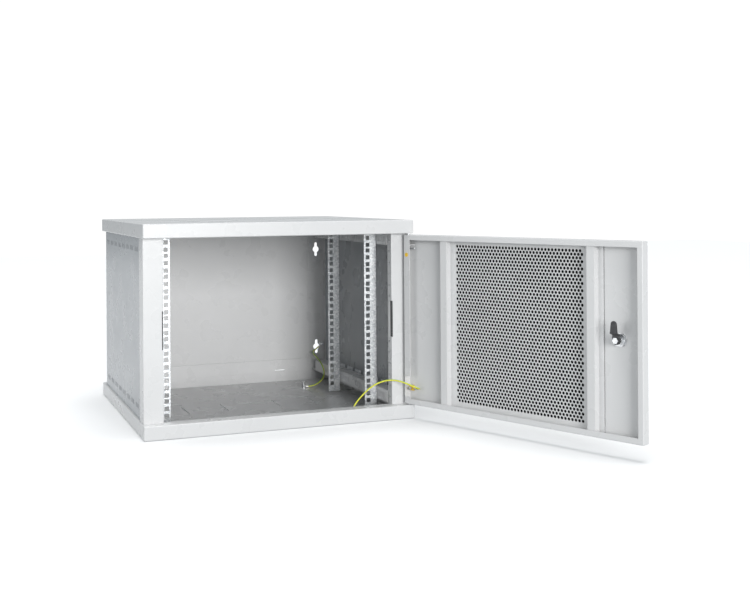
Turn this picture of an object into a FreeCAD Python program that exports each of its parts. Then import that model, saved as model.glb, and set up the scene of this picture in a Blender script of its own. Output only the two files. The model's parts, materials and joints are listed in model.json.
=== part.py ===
import FreeCAD, Part
import math
import os

# Wall-mounted 19-inch rack cabinet, nine units high, with its perforated door standing open.
# Millimetres. X to the right seen from the front, +Y to the back, +Z up.
# Origin: centre of the base footprint, on the underside of the base pan.

Vec = FreeCAD.Vector

# ---- overall sizes -------------------------------------------------------------------
WIDTH = 600.0
DEPTH = 570.0
RACK_UNITS = 9
UNIT = 44.45               # height of one rack unit
END_SPACE = 20.0           # base underside to the first unit, and last unit to the roof
PAN_HEIGHT = 30.0          # base pan and roof pan
HEIGHT = RACK_UNITS * UNIT + 2 * END_SPACE
FRONT = -DEPTH / 2

# ---- sheet thicknesses and clearances ------------------------------------------------
FRAME_SHEET = 1.5
DOOR_SHEET = 1.2
PANEL_SHEET = 1.0
RAIL_SHEET = 2.0
EDGE_ROUND = 2.0           # outside radius of the folded edges
RUNNING_GAP = 0.05         # radial clearance of turning and sliding pins
BOLT_GAP = 0.3             # radial clearance of a bolt in its hole
THREAD_GAP = 0.05          # radial gap between a modelled shank and its nut

# ---- pans ----------------------------------------------------------------------------
FRONT_LEDGE = 32.0
SLIT_WIDTH = 3.0
SLIT_LENGTH = 85.0
SLIT_CENTRE = 276.0        # from the front plane
SLIT_OUTER_X = 155.5
SLIT_INNER_X = 63.5

# ---- posts ---------------------------------------------------------------------------
POST_WIDTH = 42.0
POST_INSET = 3.0           # outer face of the posts, in from the pans
POST_RETURN = 21.0         # inner return of a front post
POST_SIDE = 40.7           # side return of a front post
TAB_DEPTH = 22.0           # foot tab of a post
POST_HOLE_RADIUS = 2.5
POST_HOLE_PITCH = 25.0
LATCH_SLOT_HEIGHT = 80.0
LATCH_SLOT_FACE = 3.0      # how far the latch slot reaches into the post's face
LATCH_SLOT_DEPTH = 11.0
REAR_POST_OUTER_X = WIDTH / 2 - 10
REAR_POST_SIDE = 27.5
REAR_FACE = 3.5            # rear face of the rear posts, in from the back plane
KEYHOLE_X = REAR_POST_OUTER_X - 23
KEYHOLE_PITCH = 262.0      # between the upper and lower wall keyholes
KEYHOLE_LENGTH = 37.0
KEYHOLE_WIDTH = 7.5
KEYHOLE_HEAD = 17.0        # diameter of the hole that takes the screw's head

# ---- side channels and rack rails ----------------------------------------------------
CHANNEL_HEIGHT = 26.5
CHANNEL_FLANGE = 28.0
HOLE_SPACING = 465.1       # rack hole centres, left to right
CHANNEL_X = HOLE_SPACING / 2 + 21.45    # inner face of the web
REAR_POST_INNER_X = CHANNEL_X - 10
CHANNEL_END = 32.0         # in from the back plane
CHANNEL_BOLT_X = 16.8      # web to the bolts through a channel's flange
CHANNEL_BOLT_Y = 93.0      # channel end to the same bolts
REAR_BOLT_X = 18.0         # channel web to the rear post's bolt
SLOT_GROUPS = (84.0, 155.0, 225.0, 307.0, 392.0, 466.0)
SLOTS_IN_GROUP = 4
CHANNEL_SLOT_PITCH = 11.5
CHANNEL_SLOT_WIDTH = 3.0
CHANNEL_SLOT_HEIGHT = 13.0
SQUARE_HOLE = 9.5
HOLES_IN_UNIT = (6.35, 22.225, 38.1)
RAIL_EDGE = 8.85           # hole centre to the rail's free edge
RAIL_SIDE = 25.0
RAIL_END_GAP = 6.5         # rail end to the outside of the pan
FRONT_RAIL = 105.9         # front plane to the rail's face
REAR_RAIL = 347.8
RAIL_BOLT_OFFSET = 12.5    # rail face to the rail's bolts

# ---- panels and beams ----------------------------------------------------------------
PANEL_INSET = 5.0          # outer face of a side panel, in from the pans
PANEL_RETURN = 10.0
PANEL_GAP = 0.8
VENT_GROUPS = 8
VENT_SLOTS = 5
VENT_PITCH = 8.0
VENT_WIDTH = 3.0
VENT_HEIGHT = 10.0
VENT_OFFSET = 24.5         # pan edge to the middle of a vent row
VENT_MARGIN = 15.0
BACK_PANEL_HALF = REAR_POST_INNER_X + 12
BACK_PANEL_LOW = 50.0
BACK_PANEL_HIGH = 40.0     # down from the roof
LOWER_BEAM_TOP = 59.0
UPPER_BEAM_DROP = 49.0
BEAM_HALF = CHANNEL_X - 1
BEAM_STEP = 27.5
BEAM_SLOT_X = 163.0
BEAM_SLOT_LENGTH = 28.0
BEAM_SLOT_HEIGHT = 3.0
PANEL_SCREW_Y = 60.0       # side panel's end to its screws
BACK_SCREW_RISE = 16.0     # top of the lower beam to the rear panel's lowest screws

# ---- fasteners -----------------------------------------------------------------------
M6 = 3.0                   # shank radius
HEAD_FLATS = 10.0
HEAD_HEIGHT = 4.0
NUT_HEIGHT = 5.0
SCREW_RADIUS = 2.0
SCREW_HEAD = 3.8
SCREW_HEAD_HEIGHT = 2.2
SCREW_LENGTH = 8.0
SCREW_HEAD_ROUND = 0.9
RECESS_WIDTH = 1.1         # cross recess of the screws
RECESS_LENGTH = 4.4
RECESS_DEPTH = 1.3
BOLT_BEYOND_NUT = 2.0

# ---- door ----------------------------------------------------------------------------
DOOR_LEFT = 4.5 - WIDTH / 2
DOOR_RIGHT = WIDTH / 2 - 3.5
DOOR_FACE = 0.5            # front plane to the outside of the door skin
DOOR_DEPTH = 19.5
DOOR_GAP = 2.5             # door to pan, top and bottom
LIP_HINGE = 17.0
LIP_FREE = 11.0
LIP_END = 12.0
PIN_Y = 10.0               # from the front plane
PIN_RADIUS = 2.5
SPRING_INNER = PIN_RADIUS + 0.2
SPRING_OUTER = PIN_RADIUS + 1.1
SPRING_GAP = 0.2           # spring to the door's edge wall
PIN_X = DOOR_RIGHT - DOOR_SHEET - SPRING_GAP - SPRING_OUTER
DOOR_OPEN = 113.5          # degrees from closed
HOLE_RADIUS = 3.15
HOLE_PITCH = 8.1
FIELD_WIDTH = 318.0
FIELD_HEIGHT = 338.0
FIELD_MARGIN = 4.5         # perforated field to the edge of its window
FILTER_THICKNESS = 1.0
RIB_OFFSET = 183.3         # rib centre from the door's centre
RIB_TOP = 17.0
RIB_SLOPE = 1.5
RIB_FOOT = 10.5
RIB_HEIGHT = 14.0
LIP_NOTCH_BELOW = 18.0     # gap in the hinge lip, below and above the earth stud
LIP_NOTCH_ABOVE = 28.0
DOOR_EDGE_ROUND = 1.6
LOWER_PIN_HEAD = 4.5       # radius of the lower pin's head and washer
LOWER_PIN_TOP = 11.5       # how far the lower pin stands up into the door
PIN_END_ROUND = 1.0

# ---- lock ----------------------------------------------------------------------------
LOCK_X = 17 - (WIDTH / 2 - POST_INSET - POST_WIDTH)
LOCK_FLANGE = 12.0
LOCK_BARREL = 9.4
LOCK_PLUG = 6.0
LOCK_LENGTH = 15.5         # front plane to the rear end of the barrel
LOCK_NUT_FLATS = 2 * (LOCK_BARREL + 2.3)
LOCK_NUT_HEIGHT = 4.0
LOCK_WASHER = 1.5
CAM_SHEET = 2.2
CAM_REACH = 37.5
CAM_WIDTH = 16.0
CAM_TIP_WIDTH = 12.0
CAM_BEND = 12.0
CAM_RISE = 3.0             # height of the cranked stretch
CAM_SLANT = 1.6
PLUG_PROUD = 0.6           # plug's face to the flange's face, set back
LOCK_FLANGE_HEIGHT = 3.0
LOCK_PLUG_TAIL = 0.5       # plug's rear end beyond the barrel
CAM_SCREW = 2.45           # radius of the cam screw's hole
CAM_SCREW_HEAD = 11.0      # across flats
CAM_SCREW_HEAD_HEIGHT = 3.6
CAM_SCREW_DEPTH = 7.0
KEY_SLOT_WIDTH = 1.6
KEY_SLOT_HEIGHT = 7.0

# ---- upper sprung hinge pin ----------------------------------------------------------
SPRING_LENGTH = 18.0
COLLAR_HEIGHT = 2.5
BRACKET_SHEET = 2.0
PIN_ENGAGE = 5.0           # how far the pin stands above the roof pan's ledge
COLLAR_GAP = 0.3           # collar to the door's top wall
HANDLE_RADIUS = 1.8
HANDLE_REACH = 20.0
HANDLE_DROP = 7.0          # bracket to the pull handle

# ---- earth leads ---------------------------------------------------------------------
LEAD_DIAMETER = 3.4
CABINET_LUG_EXIT = 12.0      # straight stretch of lead out of a cabinet lug
DOOR_LUG_EXIT = 7.0       # and out of the door's lug
LUG_RADIUS = 5.5
LUG_THICKNESS = 1.0
LUG_BARREL = 2.4
LUG_LENGTH = 12.0
LUG_NECK_GAP = 0.6         # ring's edge to the barrel
WASHER_RADIUS = 6.5
WASHER_THICKNESS = 1.0
REAR_STUD = (191.0, 449.0)
FRONT_STUD = (140.0, 58.0)
STUD_HEIGHT = 16.0
POST_STUD = (KEYHOLE_X + 14.5, 95.0)
DOOR_STUD_X = DOOR_RIGHT - 9.5
DOOR_STUD_Z = 66.0
LABEL_RADIUS = 4.5
LABEL_THICKNESS = 0.6
LABEL_DROP = 44.55         # top of the door to the earth marker

ROOF = HEIGHT - PAN_HEIGHT          # underside of the roof pan
MID = HEIGHT / 2
DOOR_LOW = PAN_HEIGHT + DOOR_GAP
DOOR_HIGH = ROOF - DOOR_GAP
DOOR_MID_X = (DOOR_LEFT + DOOR_RIGHT) / 2
LABEL_Z = DOOR_HIGH - LABEL_DROP
DOOR_INNER = DOOR_FACE + DOOR_DEPTH
SKIN_INNER = DOOR_FACE + DOOR_SHEET
ROW_PITCH = HOLE_PITCH * math.sqrt(3) / 2
HOLE_COLUMNS = int(FIELD_WIDTH / HOLE_PITCH)
HOLE_ROWS = int(FIELD_HEIGHT / ROW_PITCH)
SIDE_LEDGE = WIDTH / 2 - CHANNEL_X - 1
POST_RECESS = DOOR_INNER + 2        # front plane to the face of the front posts
CHANNEL_START = POST_RECESS + FRAME_SHEET + TAB_DEPTH + 0.5
PIN_AXIS = Vec(PIN_X, FRONT + PIN_Y, 0)
CAM_SEAT = LOCK_LENGTH + LOCK_PLUG_TAIL
CAM_CRANK = POST_RECESS + FRAME_SHEET + 0.9 - CAM_SEAT


# ---- basic shapes --------------------------------------------------------------------
def box(x0, x1, y0, y1, z0, z1):
    """Box between two corners; y is measured back from the front plane."""
    return Part.makeBox(x1 - x0, y1 - y0, z1 - z0, Vec(x0, FRONT + y0, z0))


def rod(radius, start, end):
    """Cylinder between two points; y is measured back from the front plane."""
    a = Vec(start[0], FRONT + start[1], start[2])
    b = Vec(end[0], FRONT + end[1], end[2])
    return Part.makeCylinder(radius, (b - a).Length, a, b - a)


def hexagon(flats, start, end, turn=0.0):
    """Hexagonal prism between two points, turned about its axis by turn degrees."""
    a = Vec(start[0], FRONT + start[1], start[2])
    b = Vec(end[0], FRONT + end[1], end[2])
    corner = flats / math.sqrt(3)
    points = []
    for i in range(7):
        angle = math.radians(60 * i + turn)
        points.append(Vec(corner * math.cos(angle), corner * math.sin(angle), 0))
    face = Part.Face(Part.makePolygon(points))
    prism = face.extrude(Vec(0, 0, (b - a).Length))
    prism.Placement = FreeCAD.Placement(a, FreeCAD.Rotation(Vec(0, 0, 1), b - a))
    return prism


def join(shapes):
    """One solid from shapes that touch or overlap."""
    solid = shapes[0].multiFuse(shapes[1:])
    return solid.removeSplitter()


def mirror_x(shape):
    return shape.mirror(Vec(0, 0, 0), Vec(1, 0, 0))


def flip_z(shape):
    """Mirror top to bottom about the cabinet's mid height."""
    return shape.mirror(Vec(0, 0, MID), Vec(0, 0, 1))


def round_edges(shape, radius, wanted):
    edges = [edge for edge in shape.Edges if wanted(edge.CenterOfMass, edge)]
    return shape.makeFillet(radius, edges)


def upright(edge):
    """True for an edge that runs along Z."""
    box_z = edge.BoundBox
    return box_z.ZLength > 1 and box_z.XLength < 0.01 and box_z.YLength < 0.01


def open_door(shape):
    """Turn a piece of the closed door about the hinge pin to where it stands open."""
    turned = shape.copy()
    turned.rotate(PIN_AXIS, Vec(0, 0, 1), DOOR_OPEN)
    return turned


# ---- cabinet shell -------------------------------------------------------------------
def pan():
    """Folded pan: a flat sheet with upright walls and ledges turned inwards."""
    half = WIDTH / 2
    shell = box(-half, half, 0, DEPTH, 0, PAN_HEIGHT)
    shell = shell.makeFillet(EDGE_ROUND, shell.Edges)
    wall = FRAME_SHEET
    hollow = box(-half + wall, half - wall, wall, DEPTH - wall, wall, PAN_HEIGHT - wall)
    inner = half - SIDE_LEDGE
    mouth = box(-inner, inner, FRONT_LEDGE, DEPTH - wall, wall, PAN_HEIGHT + 1)
    shell = shell.cut(hollow)
    shell = shell.cut(mouth)
    for x, y in frame_bolt_places():
        for side in (-1, 1):
            hole = rod(M6 + BOLT_GAP, (side * x, y, PAN_HEIGHT - 5), (side * x, y, PAN_HEIGHT + 5))
            shell = shell.cut(hole)
    for x, y in side_screw_places():
        for side in (-1, 1):
            hole = rod(SCREW_RADIUS + BOLT_GAP, (side * x, y, PAN_HEIGHT - 5), (side * x, y, PAN_HEIGHT + 5))
            shell = shell.cut(hole)
    return shell


def base_pan():
    shape = pan()
    y0 = SLIT_CENTRE - SLIT_LENGTH / 2
    y1 = SLIT_CENTRE + SLIT_LENGTH / 2
    for x in (-SLIT_OUTER_X, -SLIT_INNER_X, SLIT_INNER_X, SLIT_OUTER_X):
        shape = shape.cut(box(x - SLIT_WIDTH / 2, x + SLIT_WIDTH / 2, y0, y1, -1, FRAME_SHEET + 1))
    pin_hole = rod(PIN_RADIUS, (PIN_X, PIN_Y, PAN_HEIGHT - 5), (PIN_X, PIN_Y, PAN_HEIGHT + 5))
    return shape.cut(pin_hole)


def top_pan():
    shape = pan()
    pin_hole = rod(PIN_RADIUS + RUNNING_GAP, (PIN_X, PIN_Y, PAN_HEIGHT - 5), (PIN_X, PIN_Y, PAN_HEIGHT + 5))
    return flip_z(shape.cut(pin_hole))


def front_post():
    """Right-hand front post: face, side return, inner return and two foot tabs."""
    outer = WIDTH / 2 - POST_INSET
    inner = outer - POST_WIDTH
    face_y = POST_RECESS
    wall = FRAME_SHEET
    low = PAN_HEIGHT
    tab_y = face_y + wall + TAB_DEPTH
    legs = [
        box(inner, outer, face_y, face_y + wall, low, ROOF),
        box(inner, inner + wall, face_y, face_y + POST_RETURN, low, ROOF),
        box(outer - wall, outer, face_y, face_y + POST_SIDE, low, ROOF),
        box(inner, outer, face_y, tab_y, low, low + wall),
        box(inner, outer, face_y, tab_y, ROOF - wall, ROOF),
    ]
    post = join(legs)
    face = FRONT + face_y
    post = round_edges(post, 1.4, lambda c, e: upright(e) and abs(c.y - face) < 0.01)
    slot = box(inner - 1, inner + LATCH_SLOT_FACE, face_y - 1, face_y + LATCH_SLOT_DEPTH,
               MID - LATCH_SLOT_HEIGHT / 2, MID + LATCH_SLOT_HEIGHT / 2)
    post = post.cut(slot)
    hole_y = face_y + POST_RETURN * 0.6
    count = int((ROOF - PAN_HEIGHT) / POST_HOLE_PITCH)
    for i in range(count):
        z = MID + (i - (count - 1) / 2) * POST_HOLE_PITCH
        if abs(z - MID) > LATCH_SLOT_HEIGHT / 2 + POST_HOLE_RADIUS + 2:
            post = post.cut(rod(POST_HOLE_RADIUS, (inner - 1, hole_y, z), (inner + wall + 1, hole_y, z)))
    x, y = frame_bolt_places()[0]
    return post.cut(rod(M6 + BOLT_GAP, (x, y, 0), (x, y, HEIGHT)))


def keyhole(x, z, y0, y1):
    """Double-ended keyhole: an upright slot with a round hole for the screw's head in the middle."""
    half = (KEYHOLE_LENGTH - KEYHOLE_WIDTH) / 2
    radius = KEYHOLE_WIDTH / 2
    pieces = [
        box(x - radius, x + radius, y0, y1, z - half, z + half),
        rod(radius, (x, y0, z - half), (x, y1, z - half)),
        rod(radius, (x, y0, z + half), (x, y1, z + half)),
        rod(KEYHOLE_HEAD / 2, (x, y0, z), (x, y1, z)),
    ]
    return join(pieces)


def rear_post():
    """Right-hand rear post: face with two wall keyholes, side return and two foot tabs."""
    wall = FRAME_SHEET
    back = DEPTH - REAR_FACE
    low = PAN_HEIGHT
    tab_y = back - wall - TAB_DEPTH
    legs = [
        box(REAR_POST_INNER_X, REAR_POST_OUTER_X, back - wall, back, low, ROOF),
        box(REAR_POST_OUTER_X - wall, REAR_POST_OUTER_X, back - REAR_POST_SIDE, back, low, ROOF),
        box(CHANNEL_X, REAR_POST_OUTER_X, tab_y, back, low, low + wall),
        box(CHANNEL_X, REAR_POST_OUTER_X, tab_y, back, ROOF - wall, ROOF),
    ]
    post = join(legs)
    plane = FRONT + back
    post = round_edges(post, 1.4, lambda c, e: upright(e) and abs(c.y - plane) < 0.01 and c.x > KEYHOLE_X)
    for side in (-1, 1):
        post = post.cut(keyhole(KEYHOLE_X, MID + side * KEYHOLE_PITCH / 2, back - wall - 1, back + 1))
    for z in back_screw_heights():
        x = back_screw_x()
        post = post.cut(rod(SCREW_RADIUS + BOLT_GAP, (x, back - 5, z), (x, back + 1, z)))
    stud_x, stud_z = POST_STUD
    post = post.cut(rod(M6, (stud_x, back - 5, stud_z), (stud_x, back + 1, stud_z)))
    x, y = frame_bolt_places()[1]
    return post.cut(rod(M6 + BOLT_GAP, (x, y, 0), (x, y, HEIGHT)))


def side_panel():
    """Right-hand side panel: a shallow tray with two rows of vent slots."""
    outer = WIDTH / 2 - PANEL_INSET
    start = POST_RECESS + POST_SIDE + PANEL_GAP
    end = DEPTH - REAR_FACE - REAR_POST_SIDE - PANEL_GAP
    sheet = PANEL_SHEET
    tray = box(outer - PANEL_RETURN, outer, start, end, PAN_HEIGHT, ROOF)
    tray = round_edges(tray, 1.2, lambda c, e: abs(c.x - outer) < 0.01)
    hollow = box(outer - PANEL_RETURN - 1, outer - sheet, start + sheet, end - sheet,
                 PAN_HEIGHT + sheet, ROOF - sheet)
    tray = tray.cut(hollow)
    span = end - start - 2 * VENT_MARGIN
    group_pitch = span / VENT_GROUPS
    slots = []
    for group in range(VENT_GROUPS):
        middle = start + VENT_MARGIN + (group + 0.5) * group_pitch
        for i in range(VENT_SLOTS):
            y = middle + (i - (VENT_SLOTS - 1) / 2) * VENT_PITCH
            for z in (PAN_HEIGHT + VENT_OFFSET, ROOF - VENT_OFFSET):
                slots.append(box(outer - 3, outer + 1, y - VENT_WIDTH / 2, y + VENT_WIDTH / 2,
                                 z - VENT_HEIGHT / 2, z + VENT_HEIGHT / 2))
    tray = tray.cut(slots)
    for x, y in side_screw_places():
        tray = tray.cut(rod(SCREW_RADIUS + BOLT_GAP, (x, y, 0), (x, y, HEIGHT)))
    return tray


def back_screw_x():
    return (REAR_POST_INNER_X + BACK_PANEL_HALF) / 2


def back_screw_heights():
    low = LOWER_BEAM_TOP + BACK_SCREW_RISE
    return (low, MID, HEIGHT - low)


def rear_panel():
    back = DEPTH - REAR_FACE
    panel = box(-BACK_PANEL_HALF, BACK_PANEL_HALF, back, back + PANEL_SHEET,
                BACK_PANEL_LOW, HEIGHT - BACK_PANEL_HIGH)
    for side in (-1, 1):
        for z in back_screw_heights():
            x = side * back_screw_x()
            panel = panel.cut(rod(SCREW_RADIUS + BOLT_GAP, (x, back - 1, z), (x, back + 3, z)))
    return panel


def rear_beam(top):
    """Stepped cross beam behind the opening, from the floor of the pan up to top."""
    wall = FRAME_SHEET
    inside = DEPTH - wall - 0.5
    face = DEPTH - REAR_FACE - 2 * wall
    legs = [
        box(-BEAM_HALF, BEAM_HALF, inside - wall, inside, wall, BEAM_STEP),
        box(-BEAM_HALF, BEAM_HALF, face, inside, BEAM_STEP - wall, BEAM_STEP),
        box(-BEAM_HALF, BEAM_HALF, face, face + wall, BEAM_STEP - wall, top),
    ]
    return join(legs)


def rear_lower_beam():
    face = DEPTH - REAR_FACE - 2 * FRAME_SHEET
    half = BEAM_SLOT_LENGTH / 2
    slot = box(BEAM_SLOT_X - half, BEAM_SLOT_X + half, face - 1, face + FRAME_SHEET + 0.01,
               BEAM_STEP + 2, BEAM_STEP + 2 + BEAM_SLOT_HEIGHT)
    return rear_beam(LOWER_BEAM_TOP).cut(slot)


# ---- side channels and rack rails ----------------------------------------------------
def side_channel():
    """Lower right channel that ties the posts together and carries the rails."""
    wall = FRAME_SHEET
    low = PAN_HEIGHT
    high = PAN_HEIGHT + CHANNEL_HEIGHT
    start = CHANNEL_START
    end = DEPTH - CHANNEL_END
    far = CHANNEL_X + CHANNEL_FLANGE
    legs = [
        box(CHANNEL_X, CHANNEL_X + wall, start, end, low, high),
        box(CHANNEL_X, far, start, end, low, low + wall),
        box(CHANNEL_X, far, start, end, high - wall, high),
    ]
    channel = join(legs)
    middle = low + CHANNEL_HEIGHT / 2
    slots = []
    for group in SLOT_GROUPS:
        for i in range(SLOTS_IN_GROUP):
            y = group + (i - (SLOTS_IN_GROUP - 1) / 2) * CHANNEL_SLOT_PITCH
            slots.append(box(CHANNEL_X - 1, CHANNEL_X + wall + 1,
                             y - CHANNEL_SLOT_WIDTH / 2, y + CHANNEL_SLOT_WIDTH / 2,
                             middle - CHANNEL_SLOT_HEIGHT / 2, middle + CHANNEL_SLOT_HEIGHT / 2))
    channel = channel.cut(slots)
    for y in rail_bolt_places():
        hole = rod(M6 + BOLT_GAP, (CHANNEL_X - 1, y, middle), (CHANNEL_X + wall + 1, y, middle))
        channel = channel.cut(hole)
    for x, y in frame_bolt_places()[2:]:
        channel = channel.cut(rod(M6 + BOLT_GAP, (x, y, low - 1), (x, y, low + wall + 1)))
    return channel


def rail_bolt_places():
    return (FRONT_RAIL + RAIL_BOLT_OFFSET, REAR_RAIL + RAIL_BOLT_OFFSET)


def rail_bolt_heights():
    low = PAN_HEIGHT + CHANNEL_HEIGHT / 2
    return (low, HEIGHT - low)


def rack_rail(face_y):
    """Right-hand rack rail: face with square holes and a side flange that bolts to the channels."""
    hole_x = HOLE_SPACING / 2
    low = RAIL_END_GAP
    high = HEIGHT - RAIL_END_GAP
    legs = [
        box(hole_x - RAIL_EDGE, CHANNEL_X, face_y, face_y + RAIL_SHEET, low, high),
        box(CHANNEL_X - RAIL_SHEET, CHANNEL_X, face_y, face_y + RAIL_SIDE, low, high),
    ]
    rail = join(legs)
    face = FRONT + face_y
    rail = round_edges(rail, 1.8, lambda c, e: upright(e) and abs(c.y - face) < 0.01 and c.x > hole_x)
    half = SQUARE_HOLE / 2
    holes = []
    for unit in range(RACK_UNITS):
        for offset in HOLES_IN_UNIT:
            z = END_SPACE + unit * UNIT + offset
            holes.append(box(hole_x - half, hole_x + half, face_y - 1, face_y + RAIL_SHEET + 1,
                             z - half, z + half))
    rail = rail.cut(holes)
    y = face_y + RAIL_BOLT_OFFSET
    for z in rail_bolt_heights():
        rail = rail.cut(rod(M6 + BOLT_GAP, (CHANNEL_X - 5, y, z), (CHANNEL_X + 1, y, z)))
    return rail


# ---- fasteners of the frame ----------------------------------------------------------
def frame_bolt_places():
    """Bolts through the ledges on the right: front post, rear post and two in each channel."""
    post_x = WIDTH / 2 - POST_INSET - POST_WIDTH / 2
    front_y = POST_RECESS + FRAME_SHEET + TAB_DEPTH / 2
    rear_y = DEPTH - REAR_FACE - FRAME_SHEET - TAB_DEPTH / 2
    channel_x = CHANNEL_X + CHANNEL_BOLT_X
    first = CHANNEL_START + CHANNEL_BOLT_Y
    last = DEPTH - CHANNEL_END - CHANNEL_BOLT_Y
    return ((post_x, front_y), (CHANNEL_X + REAR_BOLT_X, rear_y), (channel_x, first), (channel_x, last))


def side_screw_places():
    """Screws through the returns of the right-hand side panel."""
    x = WIDTH / 2 - PANEL_INSET - PANEL_RETURN / 2
    start = POST_RECESS + POST_SIDE + PANEL_GAP
    end = DEPTH - REAR_FACE - REAR_POST_SIDE - PANEL_GAP
    return ((x, start + PANEL_SCREW_Y), (x, end - PANEL_SCREW_Y))


def both_sides(shapes):
    return shapes + [mirror_x(shape) for shape in shapes]


def top_and_bottom(shapes):
    return shapes + [flip_z(shape) for shape in shapes]


def frame_bolts():
    bolts = []
    under = PAN_HEIGHT - FRAME_SHEET
    for x, y in frame_bolt_places():
        head = hexagon(HEAD_FLATS, (x, y, under - HEAD_HEIGHT), (x, y, under))
        shank = rod(M6, (x, y, under), (x, y, under + 2 * FRAME_SHEET + NUT_HEIGHT + BOLT_BEYOND_NUT))
        bolts.append(head.fuse(shank))
    return Part.makeCompound(top_and_bottom(both_sides(bolts)))


def frame_nuts():
    nuts = []
    seat = PAN_HEIGHT + FRAME_SHEET
    for x, y in frame_bolt_places():
        nut = hexagon(HEAD_FLATS, (x, y, seat), (x, y, seat + NUT_HEIGHT))
        nuts.append(nut.cut(rod(M6 + THREAD_GAP, (x, y, seat - 1), (x, y, seat + NUT_HEIGHT + 1))))
    return Part.makeCompound(top_and_bottom(both_sides(nuts)))


def rail_bolts():
    bolts = []
    seat = CHANNEL_X - RAIL_SHEET
    for y in rail_bolt_places():
        for z in rail_bolt_heights():
            head = hexagon(HEAD_FLATS, (seat - HEAD_HEIGHT, y, z), (seat, y, z))
            end = CHANNEL_X + FRAME_SHEET + NUT_HEIGHT + BOLT_BEYOND_NUT
            bolts.append(head.fuse(rod(M6, (seat, y, z), (end, y, z))))
    return Part.makeCompound(both_sides(bolts))


def rail_nuts():
    nuts = []
    seat = CHANNEL_X + FRAME_SHEET
    for y in rail_bolt_places():
        for z in rail_bolt_heights():
            nut = hexagon(HEAD_FLATS, (seat, y, z), (seat + NUT_HEIGHT, y, z))
            nuts.append(nut.cut(rod(M6 + THREAD_GAP, (seat - 1, y, z), (seat + NUT_HEIGHT + 1, y, z))))
    return Part.makeCompound(both_sides(nuts))


def pan_screw(start, seat):
    """Screw from its tip to its seat, with a domed head beyond the seat and a cross recess."""
    a = Vec(start[0], FRONT + start[1], start[2])
    b = Vec(seat[0], FRONT + seat[1], seat[2])
    length = (b - a).Length
    shank = Part.makeCylinder(SCREW_RADIUS, length)
    head = Part.makeCylinder(SCREW_HEAD, SCREW_HEAD_HEIGHT, Vec(0, 0, length))
    top = length + SCREW_HEAD_HEIGHT
    head = round_edges(head, SCREW_HEAD_ROUND, lambda c, e: c.z > top - 0.1)
    for wide, deep in ((RECESS_LENGTH, RECESS_WIDTH), (RECESS_WIDTH, RECESS_LENGTH)):
        recess = Part.makeBox(wide, deep, RECESS_DEPTH + 1, Vec(-wide / 2, -deep / 2, top - RECESS_DEPTH))
        head = head.cut(recess)
    screw = join([shank, head])
    screw.Placement = FreeCAD.Placement(a, FreeCAD.Rotation(Vec(0, 0, 1), b - a))
    return screw


def side_panel_screws():
    screws = []
    seat = PAN_HEIGHT - FRAME_SHEET
    for x, y in side_screw_places():
        screws.append(pan_screw((x, y, seat + SCREW_LENGTH), (x, y, seat)))
    return Part.makeCompound(top_and_bottom(both_sides(screws)))


def rear_panel_screws():
    screws = []
    seat = DEPTH - REAR_FACE + PANEL_SHEET
    x = back_screw_x()
    for z in back_screw_heights():
        screws.append(pan_screw((x, seat - SCREW_LENGTH, z), (x, seat, z)))
    return Part.makeCompound(both_sides(screws))


# ---- earth studs, lugs and leads -----------------------------------------------------
def lug(centre, normal, direction):
    """Ring terminal: a ring square to normal and a crimped barrel that leaves along direction."""
    n = Vec(*normal)
    d = Vec(*direction)
    d.normalize()
    side = n.cross(d)
    c = Vec(centre[0], FRONT + centre[1], centre[2])
    under = c - n * (LUG_THICKNESS / 2)
    reach = LUG_RADIUS + LUG_NECK_GAP
    ring = Part.makeCylinder(LUG_RADIUS, LUG_THICKNESS, under, n)
    barrel = Part.makeCylinder(LUG_BARREL, LUG_LENGTH - reach, under + n * LUG_BARREL + d * reach, d)
    corners = []
    for along, across in ((0.6 * LUG_RADIUS, -1), (0.6 * LUG_RADIUS, 1), (reach + 1, 1), (reach + 1, -1)):
        corners.append(under + d * along + side * (across * LUG_BARREL * 0.8))
    corners.append(corners[0])
    web = Part.Face(Part.makePolygon(corners)).extrude(n * LUG_THICKNESS)
    hole = Part.makeCylinder(M6 + THREAD_GAP, 4 * LUG_THICKNESS, c - n * 2 * LUG_THICKNESS, n)
    return join([ring, web, barrel]).cut(hole)


def lug_end(place, beyond=0.0):
    """Point on a lug's barrel axis, beyond its open end; y is measured back from the front plane."""
    centre, normal, direction = place
    d = Vec(*direction)
    d.normalize()
    lift = LUG_BARREL - LUG_THICKNESS / 2
    return Vec(*centre) + d * (LUG_LENGTH + beyond) + Vec(*normal) * lift


def lead(points):
    """Round lead along straight runs joined by tangent arcs; returns the tube and its radii."""
    route = [point + Vec(0, FRONT, 0) for point in points]
    edges = []
    radii = []
    last = route[0]
    for i in range(1, len(route) - 1):
        before = route[i - 1] - route[i]
        after = route[i + 1] - route[i]
        shorter = min(before.Length, after.Length)
        before.normalize()
        after.normalize()
        turn = math.pi - before.getAngle(after)
        tangent = 0.45 * shorter
        radius = tangent / math.tan(turn / 2)
        bisector = before + after
        bisector.normalize()
        centre = route[i] + bisector * (radius / math.cos(turn / 2))
        enter = route[i] + before * tangent
        leave = route[i] + after * tangent
        edges.append(Part.LineSegment(last, enter).toShape())
        edges.append(Part.Arc(enter, centre - bisector * radius, leave).toShape())
        radii.append(radius)
        last = leave
    edges.append(Part.LineSegment(last, route[-1]).toShape())
    path = Part.Wire(edges)
    start = Part.Circle(route[0], route[1] - route[0], LEAD_DIAMETER / 2).toShape()
    tube = path.makePipeShell([Part.Wire([start])], True, False)
    section = math.pi * (LEAD_DIAMETER / 2) ** 2
    print("lead length %.1f, radii %s, volume ratio %.4f" % (
        path.Length, [round(r, 1) for r in radii], tube.Volume / (section * path.Length)))
    return tube


def floor_level():
    return FRAME_SHEET


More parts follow.
